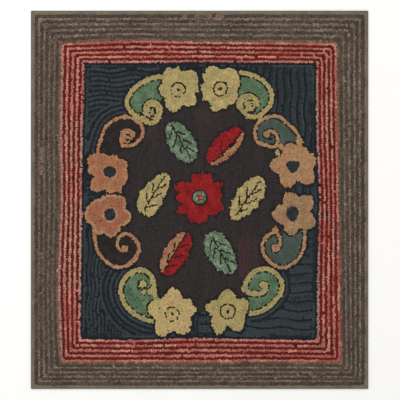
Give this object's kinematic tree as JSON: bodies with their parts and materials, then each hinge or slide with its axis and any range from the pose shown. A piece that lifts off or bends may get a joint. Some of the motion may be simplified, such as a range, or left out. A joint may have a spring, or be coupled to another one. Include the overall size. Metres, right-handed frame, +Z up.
{
  "type": "hooked rug",
  "caption": "Flat rectangular hooked wool rug with rows of loops, a floral middle, a striped band, a ribbed outer border and a folded tape binding along each side.",
  "frame": {"origin": "Middle of the underside, on the floor plane that the rug rests on.", "axes": "+Z up through the thickness, +Y along the length to the far (top) end, +X to the right across the width."},
  "size_m": [0.84, 0.942, 0.008],
  "materials": {
    "hooked_wool": "hooked wool strips, dark slate ground, matte",
    "binding_tape": "taupe cotton twill tape, matte"
  },
  "bodies": {
    "root": {"hooked_rug": "hooked_wool", "binding_top": "binding_tape", "binding_bottom": "binding_tape", "binding_left": "binding_tape", "binding_right": "binding_tape"}
  },
  "joints": []
}
